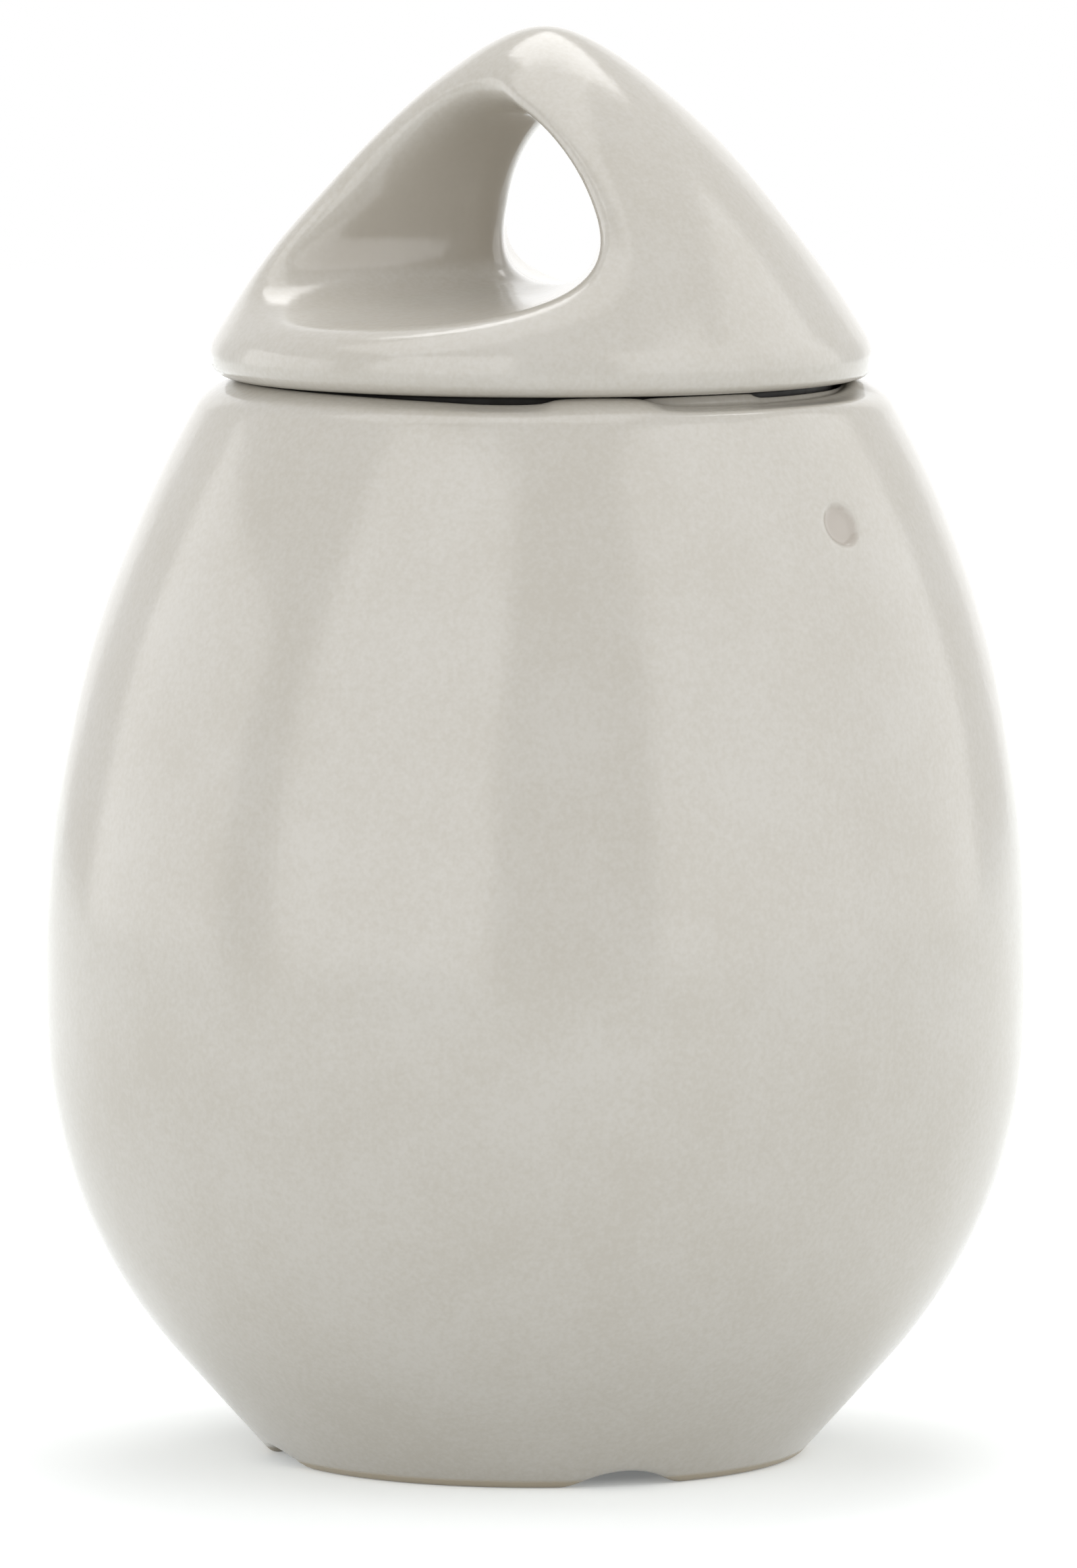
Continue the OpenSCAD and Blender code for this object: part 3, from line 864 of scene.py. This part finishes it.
def silicone_material(finish):
    """Moulded silicone rubber: matt and slightly dusty. The ring is a real part; its near-black
    colour is painted shade, so the seam between lid and cup reads as a dark shadowed line.
    """
    material, tree = new_material("Silicone rubber")
    place = add(tree, "ShaderNodeTexCoord").outputs["Object"]
    grains = {"Vector": place, "Scale": 1 / (1.2 * MM), "Detail": 2.0}
    dust = add(tree, "ShaderNodeTexNoise", grains)
    rough = add(tree, RANGE, [dust, 0.3, 0.7, 0.5, 0.62])
    bump = add(tree, "ShaderNodeBump", {"Height": dust, "Distance": 0.01 * MM, "Strength": 0.6})
    # Painted shade: the near-black base colour makes the seam as dark as a shadowed gap
    look = {"Base Color": (*finish.silicone, 1), "Roughness": rough, "IOR": 1.41, "Normal": bump}
    shader = add(tree, "ShaderNodeBsdfPrincipled", look)
    add(tree, "ShaderNodeOutputMaterial", [shader])
    return material


def seen_directly(tree):
    """1 where a ray comes from the camera, a mirror image or a transparent piece, otherwise 0."""
    rays = add(tree, "ShaderNodeLightPath").outputs
    seen = add(tree, "MAXIMUM", [rays["Is Camera Ray"], rays["Is Glossy Ray"]])
    return add(tree, "MAXIMUM", [seen, rays["Is Transmission Ray"]])


def paper_material(stage):
    """White paper: matt, with a painted glow that lifts it to plain white where no shadow falls,
    but less near the foot.
    """
    material, tree = new_material("White paper")
    matt = add(tree, "ShaderNodeBsdfDiffuse", {"Color": (*stage.paper, 1)})
    place = add(tree, "ShaderNodeTexCoord").outputs["Object"]
    away = add(tree, VECTOR, [place], operation="LENGTH")
    # Painted light: the glow is weaker near the foot so that its shadow shows, and under the foot
    # it lights the recess seen through the notches
    near, far, edge, glow_under_foot = 40 * MM, 250 * MM, 4 * MM, 0.6
    strength = add(tree, RANGE, [away, near, far, stage.lift, stage.far_lift])
    outside = [away, stage.footprint - edge, stage.footprint, glow_under_foot, 1.0]
    strength = product(tree, strength, add(tree, RANGE, outside))
    lift = add(tree, "ShaderNodeEmission", {"Color": (*stage.paper_glow, 1), "Strength": strength})
    bright = add(tree, "ShaderNodeAddShader", [matt, lift])
    both = add(tree, "ShaderNodeMixShader", [seen_directly(tree), matt, bright])
    add(tree, "ShaderNodeOutputMaterial", [both])
    return material


def lay_floor(stage):
    """A round sheet of white paper under the coddler."""
    radius, corners = 1.6, 64
    mesh = bpy.data.meshes.new("floor")
    rim = [radius * spoke(i * tau / corners) for i in range(corners)]
    mesh.from_pydata([(p.x, p.y, 0) for p in rim], [], [range(corners)])
    mesh.materials.append(paper_material(stage))
    put("floor", mesh)


def light_world(stage):
    """White all round where it is seen or mirrored, and a plain grey fill elsewhere."""
    world = bpy.data.worlds.new("Studio")
    bpy.context.scene.world = world
    world.use_nodes = True
    tree = world.node_tree
    tree.nodes.clear()
    strength = add(tree, RANGE, [seen_directly(tree), 0.0, 1.0, stage.fill, 1.0])
    background = add(tree, "ShaderNodeBackground", {"Color": (1, 1, 1, 1), "Strength": strength})
    add(tree, "ShaderNodeOutputWorld", [background])


def hang_light(name, place, away, width, height, radiance, spin=0.0):
    """An area light of a given brightness, whose back points away, spun on itself."""
    data = bpy.data.lights.new(name, "AREA")
    data.shape = "RECTANGLE"
    data.size, data.size_y = width, height
    data.energy = radiance * pi * width * height
    light = put(name, data)
    light.location = place
    light.rotation_mode = "QUATERNION"
    light.rotation_quaternion = away.to_track_quat("Z", "Y") @ Quaternion((0, 0, 1), spin)
    light.visible_camera = False


def hang_lights(stage):
    """Five upright soft lights round the coddler and two above it."""
    # From and to in degrees to the camera's right, height in metres, brightness
    for name, start, end, high, glow in (
        ("front left light", -63, -10, 1.2, stage.glow),
        ("left light", -126, -78, 0.5, stage.left_glow),
        ("front right light", 28, 78, 1.2, 0.9 * stage.glow),
        ("right light", 78, 126, 1.0, stage.right_glow),
        ("back light", 150, 210, 0.6, stage.back_glow),
    ):
        azimuth = stage.azimuth + radians(start + end) / 2
        outward = Vector((sin(azimuth), -cos(azimuth), 0))
        width = 2 * stage.light_distance * tan(radians(end - start) / 2)
        place = outward * stage.light_distance + Vector((0, 0, high / 2))
        hang_light(name, place, outward, width, high, glow)

    up = Vector((0, 0, 1))
    aside = spoke(stage.azimuth).to_3d()
    behind = up.cross(aside)
    # Steps aside and behind, width and depth in metres, brightness, turn on itself
    for name, right, back, width, depth, glow, spin in (
        ("overhead light", -0.27, 0.0, 1.15, 0.7, stage.top_glow, 0.0),
        ("crown light", 0.07, 0.62, 0.74, 0.74, stage.crown_glow, pi / 4),
    ):
        place = stage.light_height * up + back * behind + right * aside
        hang_light(name, place, up, width, depth, glow, stage.azimuth + spin)


def place_camera(stage):
    """The camera at the photograph's viewing angle."""
    azimuth = stage.azimuth
    right = spoke(azimuth).to_3d()
    back = Vector((sin(azimuth), -cos(azimuth), 0))
    data = bpy.data.cameras.new("camera")
    data.lens = stage.lens
    camera = put("camera", data)
    camera.location = back * stage.distance - right * stage.side + Vector((0, 0, stage.height))
    camera.rotation_euler = Euler((pi / 2 - stage.tilt, 0, azimuth))
    bpy.context.scene.camera = camera


class CODDLER_OT_cup(Operator):
    """Build the glazed cup: egg body, seat, slots, foot and drain notches"""

    bl_idname = "coddler.cup"
    bl_label = "Cup"

    def execute(self, context):
        scene = context.scene
        cup = scene.coddler_cup
        shape = outline_object("cup_outline", cup_outline(cup))
        tree = cup_tree(cup, scene.coddler_lid, scene.coddler_stage, glaze_material(scene))
        values = {"Turns": cup.turns, "Crowding": cup.crowding}
        bake(shape, tree, values, "glazed_cup", "cup", "cup")
        return {"FINISHED"}


class CODDLER_OT_lid(Operator):
    """Build the glazed lid with its handle, scoops, spigot and lugs"""

    bl_idname = "coddler.lid"
    bl_label = "Lid"

    def execute(self, context):
        scene = context.scene
        lid = scene.coddler_lid
        shape = outline_object("lid_seed", [Vector((0, LID_LOW.z))])
        tree = lid_tree(lid_field(lid), lid, scene.coddler_stage, glaze_material(scene))
        spare_cells = 4
        room = Vector((1, 1, 1)) * spare_cells * lid.grain
        values = {"Low corner": LID_LOW - room, "High corner": LID_HIGH + room, "Grain": lid.grain}
        bake(shape, tree, values, "glazed_lid", "lid", "lid")
        return {"FINISHED"}


class CODDLER_OT_ring(Operator):
    """Build the silicone sealing ring"""

    bl_idname = "coddler.ring"
    bl_label = "Sealing ring"

    def execute(self, context):
        ring = context.scene.coddler_ring
        shape = outline_object("ring_outline", ring_outline(ring))
        tree = ring_tree(silicone_material(context.scene.coddler_finish))
        values = {"Turns": ring.turns}
        bake(shape, tree, values, "silicone_ring", "sealing_ring", "sealing_ring")
        return {"FINISHED"}


class CODDLER_OT_stage(Operator):
    """Set up the camera, the soft lights and the paper floor"""

    bl_idname = "coddler.stage"
    bl_label = "Stage"

    def execute(self, context):
        stage = context.scene.coddler_stage
        context.scene.view_settings.view_transform = "Standard"
        place_camera(stage)
        lay_floor(stage)
        light_world(stage)
        hang_lights(stage)
        return {"FINISHED"}


class CODDLER_PT_panel(Panel):
    """Lists the coddler's pieces and sizes"""

    bl_idname = "CODDLER_PT_panel"
    bl_label = "Egg Coddler"
    bl_space_type = "VIEW_3D"
    bl_region_type = "UI"
    bl_category = "Coddler"

    def draw(self, context):
        for operator in OPERATORS:
            self.layout.operator(operator.bl_idname)
        for group, kind in GROUPS.items():
            column = self.layout.box().column()
            for name in kind.__annotations__:
                column.prop(getattr(context.scene, group), name)


GROUPS = {
    "coddler_cup": CoddlerCup,
    "coddler_lid": CoddlerLid,
    "coddler_ring": CoddlerRing,
    "coddler_finish": CoddlerFinish,
    "coddler_stage": CoddlerStage,
}
OPERATORS = (CODDLER_OT_cup, CODDLER_OT_lid, CODDLER_OT_ring, CODDLER_OT_stage)
CLASSES = (*GROUPS.values(), *OPERATORS, CODDLER_PT_panel)


def register():
    for kind in CLASSES:
        bpy.utils.register_class(kind)
    for name, kind in GROUPS.items():
        setattr(bpy.types.Scene, name, PointerProperty(type=kind))


def unregister():
    for name in GROUPS:
        delattr(bpy.types.Scene, name)
    for kind in reversed(CLASSES):
        bpy.utils.unregister_class(kind)


def main():
    """Builds the stage and every piece."""
    register()
    bpy.ops.coddler.stage()
    bpy.ops.coddler.cup()
    bpy.ops.coddler.ring()
    bpy.ops.coddler.lid()


if __name__ == "__main__":
    main()
